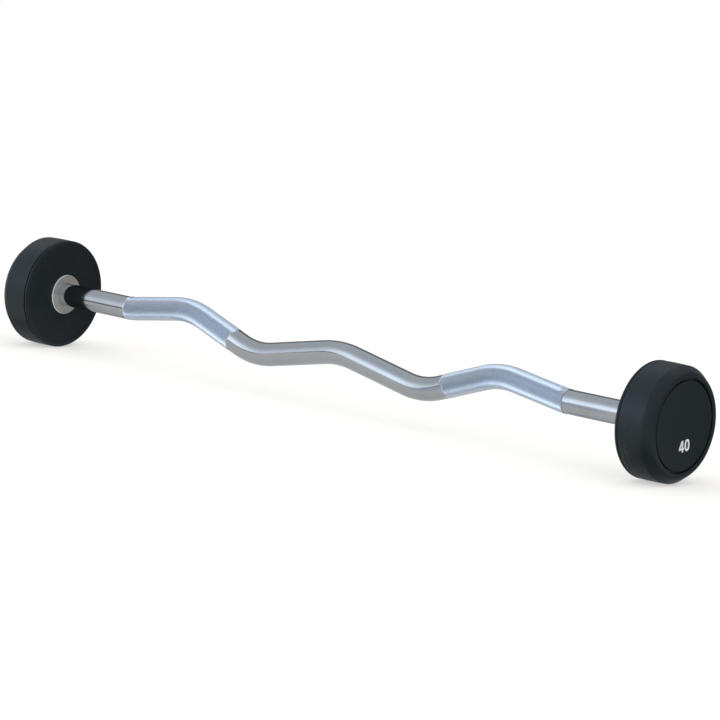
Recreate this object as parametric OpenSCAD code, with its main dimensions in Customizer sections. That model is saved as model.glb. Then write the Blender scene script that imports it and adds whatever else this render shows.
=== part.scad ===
// Fixed curl barbell: a one-piece zigzag bar with a round rubber-covered head locked on each end.
// The bar runs along X and its bends lie in the XZ plane, the inner pair lowest.
// The origin is on the common axis of the two heads, half-way between them. Sizes are in millimetres.
// Turned pieces are drawn for the right-hand end, and mirrored for the left-hand end.

/* [Bar] */
// Diameter of the plain bar
bar_d = 32; // [28:0.5:36]
// Free length of bar between the inner faces of the two heads
grip_span = 1026; // [860:2:1300]
// How far the two end bends lie from the middle
end_bend_x = 381; // [340:1:400]
// How far the two raised bends lie from the middle
high_bend_x = 272; // [250:1:290]
// Height of the raised bends over the head axis
high_bend_z = 16.5; // [5:0.5:25]
// How far the two lowered bends lie from the middle
low_bend_x = 147.5; // [130:0.5:160]
// Height of the lowered bends, below the head axis
low_bend_z = -27.3; // [-35:0.1:-15]
// Height of the middle bend's corner over the head axis
mid_bend_z = 1.9; // [-8:0.1:10]
// Radius of the end, raised and lowered bends, at the middle of the bar's section
bend_r = 107; // [70:1:120]
// Radius of the middle bend
mid_bend_r = 134; // [90:1:180]
// How much the bar's radius grows in its bends
bend_swell = 0.05; // [0.05:0.01:0.2]

/* [Grip] */
// Where each knurled grip starts, measured along the bar from the middle
knurl_start = 188; // [175:1:210]
// Length of each knurled grip along the bar
knurl_length = 206; // [120:1:206]
// How far the knurling stands out of the plain bar
knurl_rise = 0.35; // [0.1:0.05:0.6]

/* [Bar ends] */
// Diameter of the turned-down end inside the head
spigot_d = 25; // [22:0.5:26]
// How deep the full bar enters the hub flange
bar_seat = 4; // [2:0.5:5]
// Bevel on the edges of the bar's ends
end_bevel = 1; // [0.5:0.1:1.5]
// Depth of the tapped hole past the end of the bolt
tap_runout = 3; // [1:0.5:5]

/* [Rubber jacket] */
// Outside diameter of the head
head_d = 151; // [140:1:200]
// Thickness of the head, from its inner face to the crest of its outer lip
head_t = 55; // [52:0.5:80]
// Thickness of the rubber over the weight
rubber_wall = 4; // [3:0.5:6]
// Thickness of the rubber between the weight and the face plate
floor_wall = 3; // [2:0.5:5]
// Length of the outer bevel along the axis, lip included
bevel_length = 12.5; // [10:0.5:16]
// Width of the lip's flat crest
lip_w = 1; // [1:0.1:3]
// Radius that turns the bevel into the lip's flat crest
lip_round = 8; // [3:0.5:9]
// Radius of the rounded rim at the inner face
rim_round = 3.3; // [2:0.1:5]
// Width of the moulding groove beside the rounded rim
rim_groove_w = 1.4; // [0.6:0.1:2]
// Depth of the moulding groove under the side
rim_groove_depth = 1.2; // [0.3:0.1:1.5]

/* [Weight core] */
// Diameter of the well that holds the bolt and its washers
well_d = 52; // [46:1:60]
// Bevel on the weight's sharp edges
core_bevel = 1; // [0.5:0.1:2]

/* [Hub flange] */
// Diameter of the bright flange round the bar
flange_d = 55.5; // [52:0.5:64]
// How far the flange stands out of the rubber
flange_proud = 3; // [1:0.5:5]
// Bevel on the flange's rim
flange_bevel = 0.8; // [0.3:0.1:1.5]
// Wall of the boss that enters the weight, round the bar's turned-down end
boss_wall = 5.4; // [4.5:0.1:6]
// How far the boss runs on past the key
boss_past_key = 1.5; // [1:0.5:3]

/* [Key and dowels] */
// Width of the key between bar and flange
key_w = 8; // [5:0.5:8]
// Height of the key
key_h = 7; // [5:0.5:7]
// Length of the key
key_length = 14; // [10:0.5:14]
// How deep the key sits in the bar's end
key_seat = 4; // [3:0.5:4.5]
// Distance from the bar's shoulder to the key
key_offset = 1.5; // [1:0.1:2]
// Diameter of the dowels between flange and weight
dowel_d = 5; // [3:0.5:5]
// Length of each dowel
dowel_length = 14; // [10:0.5:16]
// Bevel on the dowels' ends
dowel_bevel = 0.5; // [0.2:0.1:0.8]
// How deep each dowel sits in the flange
dowel_seat = 4; // [2:0.5:4.5]

/* [Bolt and washers] */
// Gap between the clamp washer and the side of its well
washer_gap = 2; // [1:0.5:4]
// Thickness of the clamp washer
washer_t = 5; // [3:0.5:6]
// Bevel on the clamp washer's outer edge
washer_bevel = 0.6; // [0.3:0.1:1]
// Outside diameter of the spring lock washer
lock_d = 21; // [19:0.5:24]
// Thickness of the spring lock washer
lock_t = 2.5; // [2:0.1:3.5]
// Width of the cut in the spring lock washer
lock_cut = 2; // [1:0.5:3]
// Slant of that cut against the axis
lock_slant = 20; // [10:1:30]
// Diameter of the bolt's shank
bolt_d = 12; // [10:0.5:14]
// Length of the bolt under its head
bolt_length = 25; // [20:1:28]
// Diameter of the bolt's head
bolt_head_d = 18; // [16:0.5:22]
// Height of the bolt's head
bolt_head_h = 12; // [8:0.5:13]
// Width across the flats of the bolt's hexagon socket
socket_af = 10; // [6:0.5:11]
// Depth of the hexagon socket
socket_depth = 6; // [4:0.5:7]
// Bevel on the bolt's head and shank
bolt_bevel = 1; // [0.5:0.1:1.5]

/* [Face plate] */
// Diameter of the face plate
plate_d = 115; // [100:1:118]
// Thickness of the face plate
plate_t = 3; // [2:0.5:4]
// How far the plate's face lies below the crest of the lip
plate_sink = 1.5; // [1:0.5:3]
// Bevel on the plate's front edge
plate_bevel = 0.5; // [0.2:0.1:1]
// Wall of the ring on the plate's back that centres it in the rubber
plate_ring_wall = 2; // [1.5:0.5:3]
// Height of that ring
plate_ring_h = 2; // [1:0.1:2]
// Rounding of the lip's edge round the plate
mouth_round = 2.5; // [0.5:0.1:3]

/* [Fits] */
// Gap round the face plate
plate_gap = 1; // [0.3:0.1:1.5]
// Radial clearance of the turned fits
turned_fit = 0.1; // [0.05:0.05:0.3]
// Clearance round bolts, dowels and key
loose_fit = 0.2; // [0.1:0.05:0.4]
// Bonding film between the weight and its rubber
bond_film = 0.1; // [0.05:0.05:0.3]
// Gap between the bar's end and the clamp washer that lets the bolt pull tight
clamp_gap = 1; // [0.5:0.1:2]
// Gap between the bolt's head and the face plate
bolt_gap = 1; // [0.5:0.5:2]

/* [Hidden] */
$fn = 120;

chrome_tint = "#c9d0d8";
steel_tint = "#a9abaa";
black_steel_tint = "#3a3d40";
iron_tint = "#5b5f63";
rubber_tint = "#252b30";
plate_tint = "#2c3135";

// Stations along the axis of a head, counted outwards from the middle of the bar
inner_x = grip_span / 2;
crest_x = inner_x + head_t;
bevel_x = crest_x - bevel_length;
plate_face_x = crest_x - plate_sink;
plate_back_x = plate_face_x - plate_t;
core_in_x = inner_x + rubber_wall;
core_out_x = plate_back_x - floor_wall;
flange_x = inner_x - flange_proud;
shoulder_x = flange_x + bar_seat;
boss_end_x = shoulder_x + key_offset + key_length + boss_past_key;
bolt_head_x = plate_back_x - bolt_gap - bolt_head_h;
lock_x = bolt_head_x - lock_t;
well_x = lock_x - washer_t;
spigot_end_x = well_x - clamp_gap;
bolt_end_x = bolt_head_x - bolt_length;

// How far a straight leg runs on inside the bend or turned-down end that follows it
bend_lap = 0.5;
// How far a cut runs on past the face that it opens
cut_past = 1;
// Angle of the drill's point at the bottom of the tapped hole
drill_angle = 118;

// Radii of the head's turned outline
head_r = head_d / 2;
core_r = head_r - rubber_wall;
recess_r = plate_d / 2 + plate_gap;
crest_r = recess_r + mouth_round + lip_w;
// The lip's rounding takes at most this share of the height between the lip and the side
round_share = 0.7;
lip_fillet = min(lip_round, round_share * (head_r - crest_r));
// The bevel runs from the edge of the side, so that it just touches the lip's rounding
lip_centre = [crest_r - head_r, crest_x - lip_fillet - bevel_x];
bevel_angle = atan2(-lip_centre[0], lip_centre[1]) - asin(lip_fillet / norm(lip_centre));
core_bevel_x = bevel_x - rubber_wall * tan(bevel_angle / 2);
core_out_r = core_r - (core_out_x - core_bevel_x) * tan(bevel_angle);

// Radii round the bar's turned-down end
boss_r = spigot_d / 2 + turned_fit + boss_wall;
dowel_r = (boss_r + flange_d / 2) / 2;
washer_r = well_d / 2 - washer_gap;

// Points on an arc in a turned outline, as [radius, station], with the angle counted from the radius
function arc_points(r, x, size, from, to, steps = 8) =
    [for (i = [0:steps]) let (a = from + (to - from) * i / steps) [r + size * cos(a), x + size * sin(a)]];

// Corners of the right half of the bar, from the middle outwards, and the radius that rounds each
corners = [
    [0, mid_bend_z],
    [low_bend_x, low_bend_z],
    [high_bend_x, high_bend_z],
    [end_bend_x, 0],
    [shoulder_x, 0]
];
corner_r = [mid_bend_r, bend_r, bend_r, bend_r];
legs = len(corners) - 1;

// Slope of each leg, of the leg before it, and how far the bar turns between the two
function slope(i) = atan2(corners[i + 1][1] - corners[i][1], corners[i + 1][0] - corners[i][0]);
function slope_in(i) = i == 0 ? 0 : slope(i - 1);
function turn(i) = slope(i) - slope_in(i);
// Distance from a corner to where its arc begins or ends; the middle corner turns by twice its half
function tangent(i) = corner_r[i] * tan(abs(i == 0 ? slope(0) : turn(i) / 2));
function leg_length(i) =
    norm(corners[i + 1] - corners[i]) - tangent(i) - (i + 1 < legs ? tangent(i + 1) : 0);
function arc_length(i) = corner_r[i] * abs(turn(i)) * PI / 180;
// Length along the bar at which arc i starts
function arc_start(i) = i == 0 ? 0 : arc_start(i - 1) + arc_length(i - 1) + leg_length(i - 1);
half_length = arc_start(legs - 1) + arc_length(legs - 1) + leg_length(legs - 1);

// Point where arc i ends and leg i starts
function leg_from(i) = corners[i] + tangent(i) * [cos(slope(i)), sin(slope(i))];
// Centre of arc i, square to its leg at the point where they meet
function arc_centre(i) =
    leg_from(i) + sign(turn(i)) * corner_r[i] * [-sin(slope(i)), cos(slope(i))];

// Turns an outline of [radius, station] points into a solid round the X axis
module turned(outline) {
    rotate([0, 90, 0])
        rotate_extrude()
            polygon(outline);
}

// A rod along X between two stations
module rod(d, from, to) {
    translate([from, 0, 0])
        rotate([0, 90, 0])
            cylinder(d = d, h = to - from);
}

module mirrored_left() {
    mirror([1, 0, 0])
        children();
}

// A torus piece of arc i, swept between two angles seen from the arc's centre. Its section starts at the
// bar's underside, as a leg's does, so that their edges run in step.
module bend(d, i, from, to) {
    translate([arc_centre(i)[0], 0, arc_centre(i)[1]])
        rotate([90, 0, 0])
            rotate([0, 0, min(from, to)])
                rotate_extrude(angle = abs(to - from))
                    translate([corner_r[i], 0])
                        rotate([0, 0, turn(i) > 0 ? 0 : 180])
                            circle(d = d + 2 * bend_swell);
}

// The part of arc i that lies between two lengths along the bar
module arc_piece(d, i, from, to) {
    lo = max(from, arc_start(i));
    hi = min(to, arc_start(i) + arc_length(i));
    first = slope_in(i) - 90 * sign(turn(i));
    degrees_per_mm = turn(i) / arc_length(i);
    if (hi > lo)
        bend(d, i, first + (lo - arc_start(i)) * degrees_per_mm, first + (hi - arc_start(i)) * degrees_per_mm);
}

// The part of leg i that lies between two lengths along the bar; where a bend follows, it runs on into it
module leg_piece(d, i, from, to) {
    leg_start = arc_start(i) + arc_length(i);
    leg_end = leg_start + leg_length(i);
    lo = max(from, leg_start);
    hi = min(to, leg_end);
    start = lo > leg_start ? lo : lo - bend_lap;
    end = hi < leg_end || i == legs - 1 ? hi : hi + bend_lap;
    if (hi > lo)
        translate([leg_from(i)[0], 0, leg_from(i)[1]])
            rotate([0, 90 - slope(i), 0])
                translate([0, 0, start - leg_start])
                    cylinder(d = d, h = end - start);
}

// A stretch of the right half of the bar, outside the middle bend, between two lengths along it
module bar_stretch(d, from, to) {
    for (i = [0:legs - 1])
        leg_piece(d, i, from, to);
    for (i = [1:legs - 1])
        arc_piece(d, i, from, to);
}

module half_bar() {
    bar_stretch(bar_d, 0, half_length);
    bar_stretch(bar_d + 2 * knurl_rise, knurl_start, knurl_start + knurl_length);
    bar_end();
}

// Turned-down end with its keyway and tapped hole
module bar_end() {
    tap_r = bolt_d / 2 + loose_fit / 2;
    tap_x = bolt_end_x - tap_runout;
    tap_tip_x = tap_x - tap_r / tan(drill_angle / 2);
    difference() {
        turned([
            [0, shoulder_x - bend_lap],
            [spigot_d / 2, shoulder_x - bend_lap],
            [spigot_d / 2, spigot_end_x - end_bevel],
            [spigot_d / 2 - end_bevel, spigot_end_x],
            [0, spigot_end_x]
        ]);
        turned([
            [0, tap_tip_x],
            [tap_r, tap_x],
            [tap_r, spigot_end_x - end_bevel],
            [tap_r + end_bevel, spigot_end_x],
            [tap_r + end_bevel, spigot_end_x + cut_past],
            [0, spigot_end_x + cut_past]
        ]);
        key_shape(loose_fit / 2);
    }
}

// Parallel key with round ends, grown on every side to cut its seat
module key_shape(grow) {
    half_w = key_w / 2 + grow;
    from = shoulder_x + key_offset + key_w / 2;
    to = shoulder_x + key_offset + key_length - key_w / 2;
    translate([0, 0, spigot_d / 2 - key_seat]) {
        translate([from, 0, 0])
            cylinder(r = half_w, h = key_h);
        translate([to, 0, 0])
            cylinder(r = half_w, h = key_h);
        translate([from, -half_w, 0])
            cube([to - from, 2 * half_w, key_h]);
    }
}

module bar() {
    color(chrome_tint)
        union() {
            bend(bar_d, 0, 90 - slope(0), 90 + slope(0));
            half_bar();
            mirrored_left()
                half_bar();
        }
}

module hub_flange() {
    rim_r = flange_d / 2;
    bore_r = spigot_d / 2 + turned_fit;
    seat_r = bar_d / 2 + turned_fit;
    keyway_top = spigot_d / 2 - key_seat + key_h + loose_fit;
    color(steel_tint)
        difference() {
            turned([
                [seat_r, flange_x],
                [rim_r - flange_bevel, flange_x],
                [rim_r, flange_x + flange_bevel],
                [rim_r, core_in_x],
                [boss_r, core_in_x],
                [boss_r, boss_end_x - end_bevel],
                [boss_r - end_bevel, boss_end_x],
                [bore_r, boss_end_x],
                [bore_r, shoulder_x],
                [seat_r, shoulder_x]
            ]);
            translate([shoulder_x, -key_w / 2 - loose_fit / 2, 0])
                cube([boss_end_x - shoulder_x + cut_past, key_w + loose_fit, keyway_top]);
            dowel_holes(loose_fit / 2);
        }
}

module hub_key() {
    color(black_steel_tint)
        key_shape(0);
}

// Dowel with bevelled ends, on the side of the axis given by the sign
module dowel(side) {
    color(black_steel_tint)
        translate([0, side * dowel_r, 0])
            turned([
                [0, core_in_x - dowel_seat],
                [dowel_d / 2 - dowel_bevel, core_in_x - dowel_seat],
                [dowel_d / 2, core_in_x - dowel_seat + dowel_bevel],
                [dowel_d / 2, core_in_x - dowel_seat + dowel_length - dowel_bevel],
                [dowel_d / 2 - dowel_bevel, core_in_x - dowel_seat + dowel_length],
                [0, core_in_x - dowel_seat + dowel_length]
            ]);
}

module dowel_holes(grow) {
    for (side = [-1, 1])
        translate([0, side * dowel_r, 0])
            rod(dowel_d + 2 * grow, core_in_x - dowel_seat, core_in_x - dowel_seat + dowel_length + loose_fit);
}

module weight_core() {
    color(iron_tint)
        difference() {
            turned([
                [boss_r + turned_fit, core_in_x],
                [core_r - core_bevel, core_in_x],
                [core_r, core_in_x + core_bevel],
                [core_r, core_bevel_x],
                [core_out_r, core_out_x],
                [well_d / 2, core_out_x],
                [well_d / 2, well_x],
                [spigot_d / 2 + turned_fit, well_x],
                [spigot_d / 2 + turned_fit, boss_end_x + loose_fit],
                [boss_r + turned_fit, boss_end_x + loose_fit]
            ]);
            dowel_holes(loose_fit / 2);
        }
}

// Rubber moulded round the weight: inner face, rounded rim, groove, side, bevel and lip, then the plate's seat
module rubber_jacket() {
    rim_x = inner_x + rim_round;
    color(rubber_tint)
        turned(concat(
            [[flange_d / 2 + loose_fit, inner_x]],
            arc_points(head_r - rim_round, rim_x, rim_round, -90, 0),
            [
                [head_r - rim_groove_depth, rim_x + rim_groove_w / 2],
                [head_r, rim_x + rim_groove_w],
                [head_r, bevel_x]
            ],
            arc_points(crest_r, crest_x - lip_fillet, lip_fillet, bevel_angle, 90),
            arc_points(recess_r + mouth_round, crest_x - mouth_round, mouth_round, 90, 180),
            [
                [recess_r, plate_back_x],
                [well_d / 2, plate_back_x],
                [well_d / 2, core_out_x + bond_film],
                [core_out_r, core_out_x + bond_film],
                [core_r + bond_film, core_bevel_x],
                [core_r + bond_film, core_in_x + core_bevel],
                [core_r - core_bevel, core_in_x - bond_film],
                [flange_d / 2 + loose_fit, core_in_x - bond_film]
            ]
        ));
}

module clamp_washer() {
    bore_r = bolt_d / 2 + loose_fit;
    color(steel_tint)
        turned([
            [bore_r, well_x],
            [washer_r, well_x],
            [washer_r, lock_x - washer_bevel],
            [washer_r - washer_bevel, lock_x],
            [bore_r, lock_x]
        ]);
}

// Ring of square wire, cut across at a slant, here pressed flat under the bolt
module lock_washer() {
    cut_length = lock_t / cos(lock_slant) + lock_cut + 2 * cut_past;
    color(black_steel_tint)
        difference() {
            rod(lock_d, lock_x, bolt_head_x);
            rod(bolt_d + 2 * loose_fit, lock_x - cut_past, bolt_head_x + cut_past);
            translate([(lock_x + bolt_head_x) / 2, 0, lock_d / 2])
                rotate([0, 0, lock_slant])
                    cube([cut_length, lock_cut, lock_d], center = true);
        }
}

module end_bolt() {
    bolt_top_x = bolt_head_x + bolt_head_h;
    color(black_steel_tint)
        difference() {
            turned([
                [0, bolt_end_x],
                [bolt_d / 2 - bolt_bevel, bolt_end_x],
                [bolt_d / 2, bolt_end_x + bolt_bevel],
                [bolt_d / 2, bolt_head_x],
                [bolt_head_d / 2, bolt_head_x],
                [bolt_head_d / 2, bolt_top_x - bolt_bevel],
                [bolt_head_d / 2 - bolt_bevel, bolt_top_x],
                [0, bolt_top_x]
            ]);
            translate([bolt_top_x - socket_depth, 0, 0])
                rotate([0, 90, 0])
                    cylinder(d = socket_af / cos(30), h = socket_depth + cut_past, $fn = 6);
        }
}

// Disc with a centring ring on its back that sits in the mouth of the well
module face_plate() {
    ring_r = well_d / 2 - loose_fit;
    color(plate_tint)
        turned([
            [0, plate_back_x],
            [ring_r - plate_ring_wall, plate_back_x],
            [ring_r - plate_ring_wall, plate_back_x - plate_ring_h],
            [ring_r, plate_back_x - plate_ring_h],
            [ring_r, plate_back_x],
            [plate_d / 2, plate_back_x],
            [plate_d / 2, plate_face_x - plate_bevel],
            [plate_d / 2 - plate_bevel, plate_face_x],
            [0, plate_face_x]
        ]);
}

bar();

mirrored_left() hub_flange();  // left_hub_flange
mirrored_left() hub_key();  // left_hub_key
mirrored_left() dowel(-1);  // left_front_dowel
mirrored_left() dowel(1);  // left_rear_dowel
mirrored_left() weight_core();  // left_weight_core
mirrored_left() rubber_jacket();  // left_rubber_jacket
mirrored_left() clamp_washer();  // left_clamp_washer
mirrored_left() lock_washer();  // left_lock_washer
mirrored_left() end_bolt();  // left_end_bolt
mirrored_left() face_plate();  // left_face_plate

hub_flange();  // right_hub_flange
hub_key();  // right_hub_key
dowel(-1);  // right_front_dowel
dowel(1);  // right_rear_dowel
weight_core();  // right_weight_core
rubber_jacket();  // right_rubber_jacket
clamp_washer();  // right_clamp_washer
lock_washer();  // right_lock_washer
end_bolt();  // right_end_bolt
face_plate();  // right_face_plate
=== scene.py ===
"""Looks of a fixed curl barbell, put together as the real one is: the bent and knurled chrome bar first, then
what is pressed, keyed and bolted on its ends, the rubber-covered weights, and their face plates."""

from math import cos, pi, radians, sin

import bmesh
import bpy
import numpy as np
from mathutils import Matrix, Vector


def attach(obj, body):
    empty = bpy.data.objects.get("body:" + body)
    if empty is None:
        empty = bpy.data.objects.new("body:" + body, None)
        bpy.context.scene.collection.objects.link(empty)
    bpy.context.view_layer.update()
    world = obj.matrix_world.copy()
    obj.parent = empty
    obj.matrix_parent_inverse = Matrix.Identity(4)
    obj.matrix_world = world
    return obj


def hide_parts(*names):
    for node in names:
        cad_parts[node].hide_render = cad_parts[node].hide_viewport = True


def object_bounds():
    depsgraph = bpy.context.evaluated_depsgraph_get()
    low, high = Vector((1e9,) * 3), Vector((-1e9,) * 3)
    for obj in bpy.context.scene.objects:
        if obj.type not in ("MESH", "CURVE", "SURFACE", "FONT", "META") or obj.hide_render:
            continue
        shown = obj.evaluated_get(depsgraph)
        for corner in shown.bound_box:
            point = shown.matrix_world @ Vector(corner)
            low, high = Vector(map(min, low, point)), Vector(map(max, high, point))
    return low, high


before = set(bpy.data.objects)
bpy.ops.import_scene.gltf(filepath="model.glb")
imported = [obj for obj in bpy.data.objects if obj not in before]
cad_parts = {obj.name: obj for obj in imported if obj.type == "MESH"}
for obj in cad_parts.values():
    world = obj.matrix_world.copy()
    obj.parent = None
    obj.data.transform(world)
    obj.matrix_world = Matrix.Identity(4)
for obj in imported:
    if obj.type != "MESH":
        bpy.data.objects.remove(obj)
cad_low, cad_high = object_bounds()

# Bar: one 32 mm round of steel, bent cold seven times in one plane, then ground, polished and hard-chromed.
# Its grips are rolled with a diamond knurl before plating, and its ends are turned down to 25 mm and tapped
# for a bolt. The slot for the key in each end is left out here, because the flange hides it.

# Lengths in this file are written in millimetres, and this turns them to Blender's metres.
mm = 0.001
bar_r = 16.0
# The bar's line from its middle to its right shoulder: its corners, and the radius of the bend at each.
bend_x = np.array([0.0, 147.5, 272.0, 381.0, 514.0])
bend_z = np.array([1.9, -27.3, 16.5, 0.0, 0.0])
bend_r = np.array([134.0, 107.0, 107.0, 107.0])
# The knurl stands a little above the plain bar and its grooves go a little below. It rises over lift_length
# at its ragged inner end, where a face with enough of the rise takes the satin finish, and its grooves fade
# over runout_length at its outer end. The ragged line has a mean place and waves of three heights.
knurl_start, knurl_end = 188.0, 394.0
knurl_rise, knurl_depth, diamond_length = 0.45, 0.62, 1.6
lift_length, satin_from, runout_length = 1.6, 0.3, 1.5
ragged_mean, ragged_tall, ragged_middle, ragged_fine = 2.6, 1.3, 0.8, 0.5
columns, plain_step, line_points = 148, 2.5, 20001
spigot_r, spigot_length, end_bevel = 12.5, 28.0, 1.0
tap_r, tap_depth, tap_tip = 6.1, 19.5, 3.7
weld_m, sharp_edge = 1e-7, radians(35)


def skin(name, rings, u, v, finish=None):
    """Makes a closed mesh from a stack of rings.

    rings[k, j] is point j of ring k in millimetres, with the first point of a ring repeated as its last. Face
    (k, j) joins points j and j + 1 of rings k and k + 1. The seam is merged, and a ring of no size becomes
    one pole point. The volume, a sum of tetrahedra from the origin to each triangle, says whether the faces
    look outwards; if it is below zero they are all turned. u[k] and v[j], in metres, are the UV map.
    finish[k, j] is the material of face (k, j), and a face of finish 1 is cut into two flat triangles along
    the diagonal that joins its lower corners, which are those of odd k + j."""
    count, around = rings.shape[:2]
    k, j = np.meshgrid(np.arange(count - 1), np.arange(around - 1), indexing="ij")
    finish = np.zeros(k.shape, int) if finish is None else finish
    first = k * around + j
    corners = np.stack([first, first + 1, first + around + 1, first + around], axis=2)
    odd = (k + j) % 2 == 1
    quads = corners[finish == 0]
    halves = np.concatenate([
        corners[(finish == 1) & odd][:, [0, 1, 2]], corners[(finish == 1) & odd][:, [0, 2, 3]],
        corners[(finish == 1) & ~odd][:, [0, 1, 3]], corners[(finish == 1) & ~odd][:, [1, 2, 3]]])
    points = rings.reshape(-1, 3) * mm
    fans = np.concatenate([quads[:, [0, 1, 2]], quads[:, [0, 2, 3]], halves])
    if np.einsum("ij,ij->", points[fans[:, 0]], np.cross(points[fans[:, 1]], points[fans[:, 2]])) < 0:
        quads, halves = quads[:, ::-1], halves[:, ::-1]
    mesh = bpy.data.meshes.new(name)
    mesh.from_pydata(points, [], quads.tolist() + halves.tolist())
    kind = np.concatenate([np.zeros(len(quads), int), np.ones(len(halves), int)])
    mesh.polygons.foreach_set("material_index", kind)
    mesh.polygons.foreach_set("use_smooth", kind == 0)
    uv = np.stack(np.broadcast_arrays(u[:, None], v[None, :]), axis=2).reshape(-1, 2)
    layer = mesh.uv_layers.new(name="surface")
    order = np.concatenate([quads.ravel(), halves.ravel()])
    layer.data.foreach_set("uv", uv[order].astype(np.float32).ravel())
    soft = bmesh.new()
    soft.from_mesh(mesh)
    bmesh.ops.remove_doubles(soft, verts=soft.verts, dist=weld_m)
    soft.to_mesh(mesh)
    soft.free()
    mesh.set_sharp_from_angle(angle=sharp_edge)
    piece = bpy.data.objects.new(name, mesh)
    bpy.context.scene.collection.objects.link(piece)
    return piece


def bar_line():
    """Length along the right half of the bar, and its x, z and heading there.

    The heading turns at a steady rate in each bend and is constant on each leg, so it is a straight-line
    interpolation between the bends' ends. x and z are the running sums of its cosine and sine, and z is
    shifted so that the bar ends on the axis of the heads."""
    slope = np.arctan2(np.diff(bend_z), np.diff(bend_x))
    turn = np.diff(slope, prepend=0.0)
    half_turn = np.abs(np.concatenate([turn[:1], turn[1:] / 2]))
    tangent = np.append(bend_r * np.tan(half_turn), 0.0)
    bend = bend_r * np.abs(turn)
    leg = np.hypot(np.diff(bend_x), np.diff(bend_z)) - tangent[:-1] - tangent[1:]
    knots = np.concatenate([[0.0], np.cumsum(np.stack([bend, leg], axis=1).ravel())])
    headings = np.concatenate([[0.0], np.repeat(slope, 2)])
    length = np.linspace(0.0, knots[-1], line_points)
    heading = np.interp(length, knots, headings)
    step = length[1]
    x = np.concatenate([[0.0], np.cumsum(np.cos(heading[1:] - np.diff(heading) / 2))]) * step
    z = np.concatenate([[0.0], np.cumsum(np.sin(heading[1:] - np.diff(heading) / 2))]) * step
    return length, x, z - z[-1], heading


def bar_rings():
    """Rings of the whole bar, their lengths along it and the angles of their points, and what is knurled.

    A ring at length s lies square to the bar's line: centre + radius * (cos t * normal + sin t * Y). In the
    grips every other point, like the squares of a chessboard, is the tip of a diamond and the rest are the
    bottoms of the grooves between them. Towards the middle of the bar the rolls were lifted by hand, so the
    knurl ends there on a ragged line, a sum of three waves round the bar. Its outer end is clean, and the
    grooves run out just before it."""
    length, x, z, heading = bar_line()
    shoulder = length[-1]
    grip = np.linspace(knurl_start, knurl_end, int(round((knurl_end - knurl_start) / diamond_length)) + 1)
    inner = np.linspace(0.0, knurl_start, int(knurl_start / plain_step))
    outer = np.linspace(knurl_end, shoulder, int((shoulder - knurl_end) / plain_step))
    ends = np.array([
        [shoulder, spigot_r],
        [shoulder + spigot_length - end_bevel, spigot_r],
        [shoulder + spigot_length, spigot_r - end_bevel],
        [shoulder + spigot_length, tap_r + end_bevel],
        [shoulder + spigot_length - end_bevel, tap_r],
        [shoulder + spigot_length - tap_depth, tap_r],
        [shoulder + spigot_length - tap_depth - tap_tip, 0.0],
    ])
    along = np.concatenate([inner, grip, outer, ends[:, 0]])
    radius = np.concatenate([np.full(len(along) - len(ends), bar_r), ends[:, 1]])
    rolled = np.concatenate([np.zeros(len(inner)), np.ones(len(grip)), np.zeros(len(outer) + len(ends))])
    along, radius, rolled = (np.concatenate([sign * a[:0:-1], a])
                             for a, sign in ((along, -1), (radius, 1), (rolled, 1)))
    past = np.maximum(np.abs(along) - shoulder, 0)
    centre_x = np.sign(along) * (np.interp(np.abs(along), length, x) + past)
    centre_z = np.interp(np.abs(along), length, z)
    tilt = np.sign(along) * np.interp(np.abs(along), length, heading)
    t = np.linspace(0, 2 * pi, columns + 1)
    k, j = np.meshgrid(np.arange(len(along)), np.arange(columns + 1), indexing="ij")
    s = np.abs(along)[:, None]
    ragged = (ragged_mean + ragged_tall * np.sin(3 * t + np.sign(along)[:, None])
              + ragged_middle * np.sin(8 * t + 2) + ragged_fine * np.sin(19 * t))
    lifted = np.clip((s - knurl_start - ragged) / lift_length, 0, 1) * rolled[:, None]
    runs_out = np.clip((knurl_end - s) / runout_length, 0, 1)
    r = radius[:, None] + lifted * (knurl_rise - knurl_depth * runs_out * ((k + j) % 2))
    rings = np.stack([
        centre_x[:, None] - np.sin(tilt)[:, None] * r * np.cos(t),
        r * np.sin(t),
        centre_z[:, None] + np.cos(tilt)[:, None] * r * np.cos(t),
    ], axis=2)
    knurled = (lifted[:-1, :-1] > satin_from) & (lifted[1:, 1:] > satin_from)
    return rings, along, t, knurled.astype(int)


rings, along, t, knurled = bar_rings()
bar = skin("bar_steel", rings, along * mm, t * bar_r * mm, knurled)


def srgb(code):
    """The linear colour of an sRGB hex value."""
    parts = [int(code[i:i + 2], 16) / 255 for i in (1, 3, 5)]
    return tuple(p / 12.92 if p <= 0.04045 else ((p + 0.055) / 1.055) ** 2.4 for p in parts) + (1.0,)


def add(tree, kind, inputs, **settings):
    """Adds a node, sets its properties, and gives each input its value or the output that it is linked to."""
    made = tree.nodes.new(kind)
    for name, value in settings.items():
        setattr(made, name, value)
    for socket, value in inputs.items():
        if isinstance(value, bpy.types.NodeSocket):
            tree.links.new(value, made.inputs[socket])
        else:
            made.inputs[socket].default_value = value
    return made


def finish_of(name):
    """A new material with an empty tree, and that tree."""
    made = bpy.data.materials.new(name)
    made.use_nodes = True
    made.node_tree.nodes.clear()
    return made, made.node_tree


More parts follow.
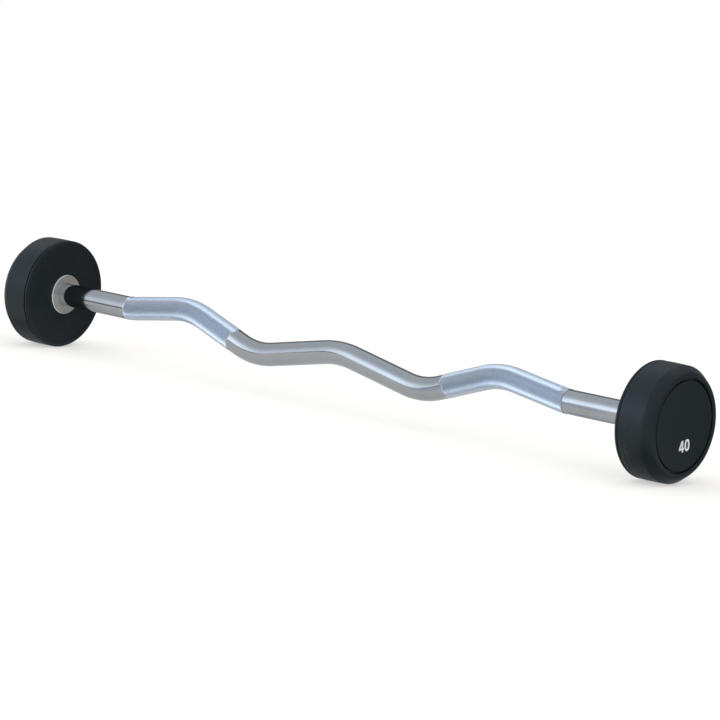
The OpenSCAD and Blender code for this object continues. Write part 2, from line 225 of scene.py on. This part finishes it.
# Hard chrome, polished: a cool grey mirror. The grinding before plating leaves fine lines round the bar, and
# the polishing a faint waviness, which bends the reflections a little. The real lines are hair-fine, and are
# drawn 2 mm apart to show.
polished_chrome, tree = finish_of("polished_hard_chrome")
unrolled = add(tree, "ShaderNodeUVMap", {}, uv_map="surface")
stretched = add(tree, "ShaderNodeMapping", {0: unrolled.outputs[0], "Scale": (1 / (2 * mm), 1 / (9 * mm), 1)})
lines = add(tree, "ShaderNodeTexNoise", {"Vector": stretched.outputs[0], "Scale": 1.0, "Detail": 4.0})
solid = add(tree, "ShaderNodeTexCoord", {})
waves = add(tree, "ShaderNodeTexNoise", {
    "Vector": solid.outputs["Object"], "Scale": 1 / (22 * mm), "Detail": 1.0})
wavy = add(tree, "ShaderNodeBump", {"Height": waves.outputs[0], "Distance": 0.02 * mm, "Strength": 1.0})
ground = add(tree, "ShaderNodeBump", {"Height": lines.outputs[0], "Distance": 0.0015 * mm,
                                      "Normal": wavy.outputs[0]})
gloss = add(tree, "ShaderNodeMapRange", {0: lines.outputs[0], 3: 0.06, 4: 0.13})
tint = add(tree, "ShaderNodeMix", {0: waves.outputs[0], 6: srgb("#93979a"), 7: srgb("#9da1a5")},
           data_type="RGBA")
shader = add(tree, "ShaderNodeBsdfPrincipled", {
    "Base Color": tint.outputs[2], "Metallic": 1.0, "Roughness": gloss.outputs[0],
    "Specular Tint": (0.85, 0.86, 0.88, 1), "Normal": ground.outputs[0]})
add(tree, "ShaderNodeOutputMaterial", {0: shader.outputs[0]})

# The same chrome over the rolled knurl: the plating dulls on the sharp diamonds, so it reads as a pale satin,
# patchy where the rolls bit more or less. Its edges dim instead of brightening, hence the dark specular tint.
knurled_chrome, tree = finish_of("knurled_hard_chrome")
solid = add(tree, "ShaderNodeTexCoord", {})
patches = add(tree, "ShaderNodeTexNoise", {
    "Vector": solid.outputs["Object"], "Scale": 1 / (5 * mm), "Detail": 6.0, "Roughness": 0.75})
tint = add(tree, "ShaderNodeMix", {0: patches.outputs[0], 6: srgb("#a3acb6"), 7: srgb("#bac3ce")},
           data_type="RGBA")
gloss = add(tree, "ShaderNodeMapRange", {0: patches.outputs[0], 3: 0.2, 4: 0.3})
shader = add(tree, "ShaderNodeBsdfPrincipled", {
    "Base Color": tint.outputs[2], "Metallic": 1.0, "Roughness": gloss.outputs[0],
    "Specular Tint": (0.3, 0.31, 0.34, 1)})
add(tree, "ShaderNodeOutputMaterial", {0: shader.outputs[0]})

bar.data.materials.append(polished_chrome)
bar.data.materials.append(knurled_chrome)
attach(bar, "root")
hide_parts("bar")

# Hub flange, one at each end: a turned steel disc with a boss, pushed on the bar's turned-down end against
# its shoulder. Its bright face was left as the lathe cut it, with fine rings round the bar, and the key in
# the slot stops it from turning. Key and flange keep their CAD shape.
sides = {"left": -1, "right": 1}
ring_pitch = 0.9

# Steel, turned and left bright: the lathe's rings draw each highlight out into rays across themselves. They
# are about a sixth of a millimetre apart on the real face, and are drawn coarser so that they show. The wave
# texture makes one ring in each tenth of pi of its scaled length.
turned_steel, tree = finish_of("turned_steel")
solid = add(tree, "ShaderNodeTexCoord", {})
cut_rings = add(tree, "ShaderNodeTexWave", {
    "Vector": solid.outputs["Object"], "Scale": pi / 10 / (ring_pitch * mm), "Distortion": 0.6,
    "Detail": 2.0}, wave_type="RINGS", rings_direction="X")
cloudy = add(tree, "ShaderNodeTexNoise", {
    "Vector": solid.outputs["Object"], "Scale": 1 / (12 * mm), "Detail": 3.0})
grooves = add(tree, "ShaderNodeBump", {
    "Height": cut_rings.outputs[1], "Distance": 0.004 * mm, "Strength": 1.0})
tint = add(tree, "ShaderNodeMix", {0: cloudy.outputs[0], 6: srgb("#c6c5c2"), 7: srgb("#d8d7d4")},
           data_type="RGBA")
gloss = add(tree, "ShaderNodeMapRange", {0: cut_rings.outputs[1], 3: 0.24, 4: 0.36})
along_rings = add(tree, "ShaderNodeTangent", {}, direction_type="RADIAL", axis="X")
shader = add(tree, "ShaderNodeBsdfPrincipled", {
    "Base Color": tint.outputs[2], "Metallic": 1.0, "Roughness": gloss.outputs[0], "Anisotropic": 0.6,
    "Anisotropic Rotation": 0.25, "Normal": grooves.outputs[0], "Tangent": along_rings.outputs[0]})
add(tree, "ShaderNodeOutputMaterial", {0: shader.outputs[0]})

# Black oxide on steel: a thin blue-black film from a hot salt bath, a little oily, with faint brown clouds.
black_oxide, tree = finish_of("black_oxide_steel")
solid = add(tree, "ShaderNodeTexCoord", {})
clouds = add(tree, "ShaderNodeTexNoise", {
    "Vector": solid.outputs["Object"], "Scale": 1 / (6 * mm), "Detail": 4.0})
tint = add(tree, "ShaderNodeMix", {0: clouds.outputs[0], 6: srgb("#2a2c30"), 7: srgb("#3a3836")},
           data_type="RGBA")
gloss = add(tree, "ShaderNodeMapRange", {0: clouds.outputs[0], 3: 0.3, 4: 0.45})
shader = add(tree, "ShaderNodeBsdfPrincipled", {
    "Base Color": tint.outputs[2], "Metallic": 1.0, "Roughness": gloss.outputs[0]})
add(tree, "ShaderNodeOutputMaterial", {0: shader.outputs[0]})


def dress(part, material):
    """Gives that finish to the CAD solids of this name at both ends."""
    for side in sides:
        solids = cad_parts[f"{side}_{part}"].data.materials
        solids.clear()
        solids.append(material)


dress("hub_flange", turned_steel)
dress("hub_key", black_oxide)

# Weight, one at each end: a cast-iron disc, turned on the outside, that two dowels keep from turning on the
# flange. Black rubber is moulded on all of it except the well for the bolt. All of this is inside the head.

# Grey iron, skimmed on a lathe: dull and dark, with open pores of a millimetre or so.
cast_iron, tree = finish_of("turned_cast_iron")
solid = add(tree, "ShaderNodeTexCoord", {})
pores = add(tree, "ShaderNodeTexNoise", {
    "Vector": solid.outputs["Object"], "Scale": 1 / (1.4 * mm), "Detail": 6.0})
pitted = add(tree, "ShaderNodeBump", {"Height": pores.outputs[0], "Distance": 0.08 * mm, "Strength": 1.0})
tint = add(tree, "ShaderNodeMix", {0: pores.outputs[0], 6: srgb("#4c4d4e"), 7: srgb("#6b6b69")},
           data_type="RGBA")
gloss = add(tree, "ShaderNodeMapRange", {0: pores.outputs[0], 3: 0.45, 4: 0.65})
shader = add(tree, "ShaderNodeBsdfPrincipled", {
    "Base Color": tint.outputs[2], "Metallic": 1.0, "Roughness": gloss.outputs[0],
    "Normal": pitted.outputs[0]})
add(tree, "ShaderNodeOutputMaterial", {0: shader.outputs[0]})

for part in ("front_dowel", "rear_dowel"):
    dress(part, black_oxide)
dress("weight_core", cast_iron)

# Rubber jacket, one at each end: black rubber, pressed and cured in a steel mould round the weight. The
# mould's rings left a groove and a finer line on its inner rim and a crease on its side, and its outer rim is
# a bevel that rolls over a lip. Both ends are alike, and each is one outline turned about the bar's axis.
head_r, inner_x, crest_x = 75.5, 513.0, 568.0
rim_r, rim_round = 75.4, 4.2
line_angle, line_width, line_depth = -42.0, 7.0, 0.5
groove_x, groove_width, groove_depth, groove_wall = 517.2, 2.2, 2.1, 0.1
hole_r, dish_r, dish_depth = 27.95, 67.0, 0.6
# How far from dish_r the dish has which share of its depth: it ends in an S.
dish_end = [(-2.0, 1.0), (-0.6, 0.85), (0.6, 0.15), (2.0, 0.0)]
crease_x, crease_r, crease_half, crease_depth = 528.0, 75.45, 0.8, 0.2
side_fall, fall_length, swell_power = 0.45, 10.3, 2.2
bevel_x, bevel_angle, lip_round, lip_r = 555.5, 35.3, 8.0, 62.0
mouth_round, recess_r, plate_back_x = 2.2, 59.8, 563.5
well_r, film = 26.0, 0.1
core_r, core_in_x, core_bevel_x, core_out_r, core_out_x, core_edge = 71.5, 517.0, 554.15, 66.65, 560.5, 1.0
# Rings that only break up the wide flat faces, and the number of points round a head.
inner_face_r, seat_r, around_head = 45.0, 40.0, 240


def arc(radius, station, size, start, stop, steps):
    """Points of an arc in the outline: centre (radius, station), from start to stop degrees."""
    a = np.radians(np.linspace(start, stop, steps))
    return np.stack([radius + size * np.cos(a), station + size * np.sin(a)], axis=1)


def turned(name, outline, side):
    """The surface that an outline of (radius, station) makes when it is turned about the X axis.

    A ring has the points (station, radius * sin t, radius * cos t), and side is 1 or -1 for its end of the
    bar. u runs along the outline and v round it, both in metres."""
    t = np.linspace(0, 2 * pi, around_head + 1)
    radius, station = outline[:, :1], outline[:, 1:]
    rings = np.stack([side * station + 0 * t, radius * np.sin(t), radius * np.cos(t)], axis=2)
    u = np.concatenate([[0.0], np.cumsum(np.hypot(*np.diff(outline, axis=0).T))]) * mm
    return skin(name, rings, u, t * head_r * mm)


def side_line():
    """The side in the outline, from the groove to the bevel.

    Its radius is greatest at the crease, which is a fine notch. It falls from there in a straight line to
    the groove, and in a swell to the bevel, where the fall grows with a power of the distance."""
    x = np.concatenate([
        [groove_x + groove_width, crease_x - 5.0, crease_x - crease_half, crease_x, crease_x + crease_half],
        np.linspace(crease_x + 3.0, bevel_x, 12)])
    share = np.where(x < crease_x, (crease_x - x) / fall_length,
                     np.abs((x - crease_x) / (bevel_x - crease_x)) ** swell_power)
    r = crease_r - side_fall * share - crease_depth * (x == crease_x)
    return np.stack([r, x], axis=1)


# Round the outline: the dished inner face, the rim with its line, the saw-tooth groove, the side, the bevel
# and lip, the mouth and floor of the plate's seat, the bolt's well, and back along the weight's own surface.
rim_centre = rim_r - rim_round, inner_x + rim_round
jacket_line = np.concatenate([
    [[hole_r, inner_x + dish_depth], [inner_face_r, inner_x + dish_depth]],
    [[dish_r + away, inner_x + dish_depth * share] for away, share in dish_end],
    arc(*rim_centre, rim_round, -90, line_angle - line_width, 9),
    arc(*rim_centre, rim_round - line_depth, line_angle, line_angle, 1),
    arc(*rim_centre, rim_round, line_angle + line_width, 0, 7),
    [[rim_r - groove_depth, groove_x + groove_width - groove_wall]],
    side_line(),
    arc(lip_r, crest_x - lip_round, lip_round, bevel_angle, 90, 14),
    arc(recess_r + mouth_round, crest_x - mouth_round, mouth_round, 90, 180, 12),
    [[recess_r, plate_back_x], [seat_r, plate_back_x], [well_r, plate_back_x]],
    [[well_r, core_out_x + film], [core_out_r, core_out_x + film], [core_r + film, core_bevel_x]],
    [[core_r + film, core_in_x + core_edge], [core_r - core_edge, core_in_x - film]],
    [[hole_r, core_in_x - film]],
    [[hole_r, inner_x + dish_depth]],
])

# Moulded rubber: black with a cold grey cast where its skin has bloomed, a low sheen, a few pale specks of
# dust, and a fine even grain from the mould. The grain is half a millimetre across on the real one, and is
# drawn at one and a half to show.
moulded_rubber, tree = finish_of("moulded_black_rubber")
solid = add(tree, "ShaderNodeTexCoord", {})
grain = add(tree, "ShaderNodeTexNoise", {
    "Vector": solid.outputs["Object"], "Scale": 1 / (1.5 * mm), "Detail": 4.0})
bloom = add(tree, "ShaderNodeTexNoise", {
    "Vector": solid.outputs["Object"], "Scale": 1 / (25 * mm), "Detail": 5.0, "Roughness": 0.6})
specks = add(tree, "ShaderNodeTexVoronoi", {"Vector": solid.outputs["Object"], "Scale": 1 / (9 * mm)})
speck = add(tree, "ShaderNodeMapRange", {0: specks.outputs[0], 1: 0.05, 2: 0.09, 3: 0.2, 4: 0.0})
base = add(tree, "ShaderNodeMix", {0: bloom.outputs[0], 6: srgb("#080f12"), 7: srgb("#121b20")},
           data_type="RGBA")
dusty = add(tree, "ShaderNodeMix", {0: speck.outputs[0], 6: base.outputs[2], 7: srgb("#6f777c")},
            data_type="RGBA")
bumpy = add(tree, "ShaderNodeBump", {"Height": grain.outputs[0], "Distance": 0.05 * mm, "Strength": 1.0})
gloss = add(tree, "ShaderNodeMapRange", {0: grain.outputs[0], 3: 0.36, 4: 0.5})
shader = add(tree, "ShaderNodeBsdfPrincipled", {
    "Base Color": dusty.outputs[2], "Roughness": gloss.outputs[0], "Specular IOR Level": 0.29,
    "Specular Tint": (0.82, 0.95, 1, 1), "Normal": bumpy.outputs[0]})
add(tree, "ShaderNodeOutputMaterial", {0: shader.outputs[0]})

for name, side in sides.items():
    jacket = turned(f"{name}_moulded_rubber", jacket_line, side)
    jacket.data.materials.append(moulded_rubber)
    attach(jacket, "root")
    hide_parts(f"{name}_rubber_jacket")

# End bolt, one at each end, with a spring washer and a thick clamp washer: they pull the weight against the
# flange. The bolt and spring washer are oxidised black, and the clamp washer is plain turned steel.
for part in ("lock_washer", "end_bolt"):
    dress(part, black_oxide)
dress("clamp_washer", turned_steel)

# Face plate, one at each end: a round steel plate, painted matt dark grey, that is pushed into the rubber and
# covers the bolt. The ring behind it grips in the bolt's well.

# Powder paint, baked: the faintest orange peel, two or three millimetres apart, and next to no sheen.
matt_paint, tree = finish_of("matt_powder_paint")
solid = add(tree, "ShaderNodeTexCoord", {})
peel = add(tree, "ShaderNodeTexNoise", {
    "Vector": solid.outputs["Object"], "Scale": 1 / (2.4 * mm), "Detail": 2.0})
clouds = add(tree, "ShaderNodeTexNoise", {
    "Vector": solid.outputs["Object"], "Scale": 1 / (30 * mm), "Detail": 3.0})
wavy = add(tree, "ShaderNodeBump", {"Height": peel.outputs[0], "Distance": 0.03 * mm, "Strength": 1.0})
tint = add(tree, "ShaderNodeMix", {0: clouds.outputs[0], 6: srgb("#10181b"), 7: srgb("#162024")},
           data_type="RGBA")
gloss = add(tree, "ShaderNodeMapRange", {0: peel.outputs[0], 3: 0.5, 4: 0.62})
shader = add(tree, "ShaderNodeBsdfPrincipled", {
    "Base Color": tint.outputs[2], "Roughness": gloss.outputs[0], "Specular IOR Level": 0.23,
    "Specular Tint": (0.85, 0.96, 1, 1), "Normal": wavy.outputs[0]})
add(tree, "ShaderNodeOutputMaterial", {0: shader.outputs[0]})
dress("face_plate", matt_paint)

# The weight's number, 40 for its pounds, one on each face plate: white enamel, printed thick enough to feel.
# It sits low on the plate and a little askew, because the head was bolted on that way.
number_face_x, number_rise = 566.5, 0.3
number_height, number_turn, number_drop = 15.0, radians(9.0), 25.5
number_middle, zero_middle, roundness = 10.8, 16.6, 0.8
# Half the width and height of the zero and of the hole in it.
zero, zero_hole = (5.0, 7.6), (2.1, 4.9)
# Outlines of the four and of the hole in it, corner by corner, from the number's lower left.
four = [
    [[6.1, 0.0], [6.1, 3.1], [0.0, 3.1], [0.0, 5.6], [5.3, 15.0], [8.6, 15.0], [8.6, 5.7], [10.3, 5.7],
     [10.3, 3.1], [8.6, 3.1], [8.6, 0.0]],
    [[6.1, 5.7], [6.1, 11.2], [3.0, 5.7]],
]


def oval(half_width, half_height, points=48):
    """Points of a superellipse: |x / width| to the power 2.5 (2 / roundness) plus |y / height| to it is 1."""
    a = np.linspace(0, 2 * pi, points, endpoint=False)
    x = np.sign(np.cos(a)) * np.abs(np.cos(a)) ** roundness * half_width
    y = np.sign(np.sin(a)) * np.abs(np.sin(a)) ** roundness * half_height
    return np.stack([x + zero_middle, y + number_height / 2], axis=1)


shapes = [np.array(line) for line in four] + [oval(*zero), oval(*zero_hole)]

# Enamel ink, printed: an opaque, slightly warm white with a soft gloss.
white_enamel, tree = finish_of("white_enamel")
solid = add(tree, "ShaderNodeTexCoord", {})
film_clouds = add(tree, "ShaderNodeTexNoise", {"Vector": solid.outputs["Object"], "Scale": 1 / (1.5 * mm)})
tint = add(tree, "ShaderNodeMix", {0: film_clouds.outputs[0], 6: srgb("#f0f1f3"), 7: srgb("#f8f9fa")},
           data_type="RGBA")
shader = add(tree, "ShaderNodeBsdfPrincipled", {"Base Color": tint.outputs[2], "Roughness": 0.4})
add(tree, "ShaderNodeOutputMaterial", {0: shader.outputs[0]})

for name, side in sides.items():
    curve = bpy.data.curves.new("number", "CURVE")
    curve.dimensions = "2D"
    curve.fill_mode = "BOTH"
    curve.extrude = number_rise * mm / 2
    for shape in shapes:
        line = curve.splines.new("POLY")
        line.points.add(len(shape) - 1)
        placed = (shape - [number_middle, number_height / 2]) * mm
        line.points.foreach_set("co", np.concatenate(
            [placed, np.zeros((len(shape), 1)), np.ones((len(shape), 1))], axis=1).ravel())
        line.use_cyclic_u = True
    flat = bpy.data.objects.new("number", curve)
    bpy.context.scene.collection.objects.link(flat)
    bpy.context.view_layer.update()
    mesh = bpy.data.meshes.new_from_object(flat)
    bpy.data.objects.remove(flat)
    across = Vector((0, side * cos(number_turn), sin(number_turn)))
    upwards = Vector((0, -side * sin(number_turn), cos(number_turn)))
    out = Vector((side, 0, 0))
    middle = (out * (number_face_x + number_rise / 2) - upwards * number_drop) * mm
    mesh.transform(Matrix((
        (across.x, upwards.x, out.x, middle.x), (across.y, upwards.y, out.y, middle.y),
        (across.z, upwards.z, out.z, middle.z), (0, 0, 0, 1))))
    mesh.name = f"{name}_number"
    number = bpy.data.objects.new(f"{name}_number", mesh)
    bpy.context.scene.collection.objects.link(number)
    number.data.materials.clear()
    number.data.materials.append(white_enamel)
    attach(number, "root")

# Floor and light: a pale floor under the heads, and a white fabric tent over the whole set, brightest where
# the lamp stands outside it, in front and to the left. The tent is what the chrome reflects. The floor fades
# to the white of the background, so that only the shadow near the heads is left of it.
floor_z = cad_low.z / mm - 0.3
floor_r, tent_r = 12000.0, 9000.0
fade_start, fade_end, floor_lift = 750.0, 2200.0, 0.49
key_az, key_el, key_spread, key_gain = radians(-20), radians(14), 11.5, 2.15
tent_low, tent_high, tent_even_from = 0.86, 0.96, 0.8


def is_seen(tree):
    """1 where the camera sees a surface straight, in a mirror or through glass, 0 where it only lights."""
    path = add(tree, "ShaderNodeLightPath", {})
    seen = add(tree, "ShaderNodeMath", {0: path.outputs["Is Camera Ray"], 1: path.outputs["Is Glossy Ray"]},
               operation="MAXIMUM")
    return add(tree, "ShaderNodeMath", {0: seen.outputs[0], 1: path.outputs["Is Transmission Ray"]},
               operation="MAXIMUM").outputs[0]


def stage_piece(name, rings, material):
    """A piece of the stage from a stack of rings. Its material doesn't read the UV map, so that is all 0."""
    piece = skin(name, rings, np.zeros(len(rings)), np.zeros(rings.shape[1]))
    piece.data.materials.append(material)
    return piece


# Matt paper: plain near the object, where it takes the shadow, with enough glow of its own to be seen as
# white. Farther out it is only that white, in a smooth step.
white, tree = finish_of("white_floor")
solid = add(tree, "ShaderNodeTexCoord", {})
distance = add(tree, "ShaderNodeVectorMath", {0: solid.outputs["Object"]}, operation="LENGTH")
far = add(tree, "ShaderNodeMapRange", {
    0: distance.outputs["Value"], 1: fade_start * mm, 2: fade_end * mm}, interpolation_type="SMOOTHSTEP")
paper = add(tree, "ShaderNodeBsdfDiffuse", {0: srgb("#cbc5bb")})
lift = add(tree, "ShaderNodeMath", {0: is_seen(tree), 1: floor_lift}, operation="MULTIPLY")
lit = add(tree, "ShaderNodeEmission", {0: (1, 1, 1, 1), 1: lift.outputs[0]})
near = add(tree, "ShaderNodeAddShader", {0: paper.outputs[0], 1: lit.outputs[0]})
open_white = add(tree, "ShaderNodeEmission", {0: (1, 1, 1, 1), 1: 1.0})
blend = add(tree, "ShaderNodeMixShader", {0: far.outputs[0], 1: near.outputs[0], 2: open_white.outputs[0]})
add(tree, "ShaderNodeOutputMaterial", {0: blend.outputs[0]})
t = np.linspace(0, 2 * pi, 65)
rim = np.array([0.0, 1200.0, 3000.0, floor_r])[:, None]
stage_piece("floor", np.stack([rim * np.cos(t), rim * np.sin(t), floor_z + 0 * rim * t], axis=2), white)

# White cloth, lit from outside: its glow is an even wall, a little brighter overhead, plus the lamp's pool,
# which is the cosine of the angle to the lamp, raised to a power. The pool is a colder white than the wall.
tent_cloth, tree = finish_of("tent_cloth")
solid = add(tree, "ShaderNodeTexCoord", {})
outward = add(tree, "ShaderNodeVectorMath", {0: solid.outputs["Object"]}, operation="NORMALIZE")
key = Vector((sin(key_az) * cos(key_el), -cos(key_az) * cos(key_el), sin(key_el)))
towards = add(tree, "ShaderNodeVectorMath", {0: outward.outputs[0], 1: key}, operation="DOT_PRODUCT")
facing = add(tree, "ShaderNodeMath", {0: towards.outputs["Value"], 1: 0.0}, operation="MAXIMUM")
pool = add(tree, "ShaderNodeMath", {0: facing.outputs[0], 1: key_spread}, operation="POWER")
height = add(tree, "ShaderNodeSeparateXYZ", {0: outward.outputs[0]})
wall = add(tree, "ShaderNodeMapRange", {
    0: height.outputs["Z"], 1: 0.0, 2: tent_even_from, 3: tent_low, 4: tent_high})
glow = add(tree, "ShaderNodeMath", {
    0: pool.outputs[0], 1: key_gain, 2: wall.outputs[0]}, operation="MULTIPLY_ADD")
cold = add(tree, "ShaderNodeMix", {0: pool.outputs[0], 6: (0.95, 1.0, 1.06, 1), 7: (0.9, 1.0, 1.16, 1)},
           data_type="RGBA")
light = add(tree, "ShaderNodeEmission", {0: cold.outputs[2], 1: glow.outputs[0]})
add(tree, "ShaderNodeOutputMaterial", {0: light.outputs[0]})
tent_cloth.cycles.emission_sampling = "NONE"
rise = np.linspace(-pi / 2, pi / 2, 49)[:, None]
t = np.linspace(0, 2 * pi, 97)
tent = stage_piece("tent", tent_r * np.stack(
    [np.cos(rise) * np.cos(t), np.cos(rise) * np.sin(t), np.sin(rise) + 0 * t], axis=2), tent_cloth)
tent.visible_camera = False

# Flags: cards that the camera doesn't see and that cast no shadow, so that only metal and gloss show them.
# The three upright ones and the strip give polished metal its thin dark lines and edges. The other cards lie
# close to the object, where its shade falls on the floor, and are painted shadow there, because the floor's
# own glow would hide that shade in the metal; the pale one in front is painted lamp light on the floor.
flag_top, back_top, card_z = 300.0, 1050.0, floor_z + 0.1


def standing(ax, ay, bx, by, top=flag_top):
    """Corners of an upright card on the floor, from (ax, ay) to (bx, by)."""
    return [(ax, ay, floor_z), (bx, by, floor_z), (bx, by, top), (ax, ay, top)]


def lying(ax, bx, ay, by):
    """Corners of an oblong card on the floor, from ax to bx and from ay to by."""
    return [(ax, ay, card_z), (bx, ay, card_z), (bx, by, card_z), (ax, by, card_z)]


flags = {
    "left_flag": ("#6c6c72", standing(-3000, -3800, -3000, -3230)),
    "left_strip": ("#94969c", [(-660, -300, card_z), (-2150, -2100, card_z), (-2450, -2100, card_z),
                               (-800, -300, card_z)]),
    # Painted lamp light: a pale glowing card on the floor in front, seen only in the metal.
    "front_painted_light": ("#ecf3ff", [(380, -130, card_z), (40, -130, card_z), (-1650, -2170, card_z),
                               (-1250, -2170, card_z)]),
    "right_flag": ("#8c8c90", standing(3000, -3500, 3000, 3500)),
    "back_flag": ("#9c9c9e", standing(-2900, 900, 2900, 900, back_top)),
    # Painted shadow: grey cards on the floor behind the object and under and beside each head, seen only in
    # gloss.
    "rear_painted_shade": ("#8e8d8b", lying(-1500, 1700, 90, 890)),
    "left_painted_shadow": ("#aeb0b3", lying(-760, -530, -85, 88)),
    "left_painted_shade": ("#ced2d6", lying(-512, -400, 0, 88)),
    "right_painted_shadow": ("#aeb0b3", lying(502, 600, -160, 88)),
    "right_painted_shade": ("#d4d8de", lying(340, 473, 0, 88)),
}
for name, (code, corners) in flags.items():
    flag_cloth, tree = finish_of(name)
    grey = add(tree, "ShaderNodeEmission", {0: srgb(code), 1: 1.0})
    add(tree, "ShaderNodeOutputMaterial", {0: grey.outputs[0]})
    card = bpy.data.meshes.new(name)
    card.from_pydata([tuple(c * mm for c in corner) for corner in corners], [], [(0, 1, 2, 3)])
    card.materials.append(flag_cloth)
    flag = bpy.data.objects.new(name, card)
    bpy.context.scene.collection.objects.link(flag)
    flag.visible_camera = flag.visible_diffuse = flag.visible_shadow = False

world = bpy.data.worlds.new("studio")
world.use_nodes = True
world.node_tree.nodes.clear()
plain = add(world.node_tree, "ShaderNodeBackground", {0: (1, 1, 1, 1), 1: 1.0})
add(world.node_tree, "ShaderNodeOutputWorld", {0: plain.outputs[0]})
bpy.context.scene.world = world

# Camera: fitted to the outline of the bar and both heads, from the right-hand front and a little above. It
# looks at a point close to the middle of the bar, rolled so that the bar slopes across the picture.
camera_az, camera_el, camera_roll = radians(39.689), radians(7.776), radians(5.666)
camera_distance, camera_right, camera_up = 5403.5, 26.78, -9.585
focal_pixels, picture_pixels = 4069.436, 720
back = Vector((sin(camera_az) * cos(camera_el), -cos(camera_az) * cos(camera_el), sin(camera_el)))
level = (-back).cross(Vector((0, 0, 1))).normalized()
upright = level.cross(-back)
right = level * cos(camera_roll) + upright * sin(camera_roll)
up = upright * cos(camera_roll) - level * sin(camera_roll)
stand = (right * camera_right + up * camera_up + back * camera_distance) * mm
lens = bpy.data.cameras.new("camera")
lens.sensor_width = 36.0
lens.lens = focal_pixels / picture_pixels * lens.sensor_width
lens.clip_end = 100.0
camera = bpy.data.objects.new("camera", lens)
camera.matrix_world = Matrix((
    (right.x, up.x, back.x, stand.x), (right.y, up.y, back.y, stand.y), (right.z, up.z, back.z, stand.z),
    (0, 0, 0, 1)))
bpy.context.scene.collection.objects.link(camera)
bpy.context.scene.camera = camera

bpy.context.scene.view_settings.view_transform = "Standard"
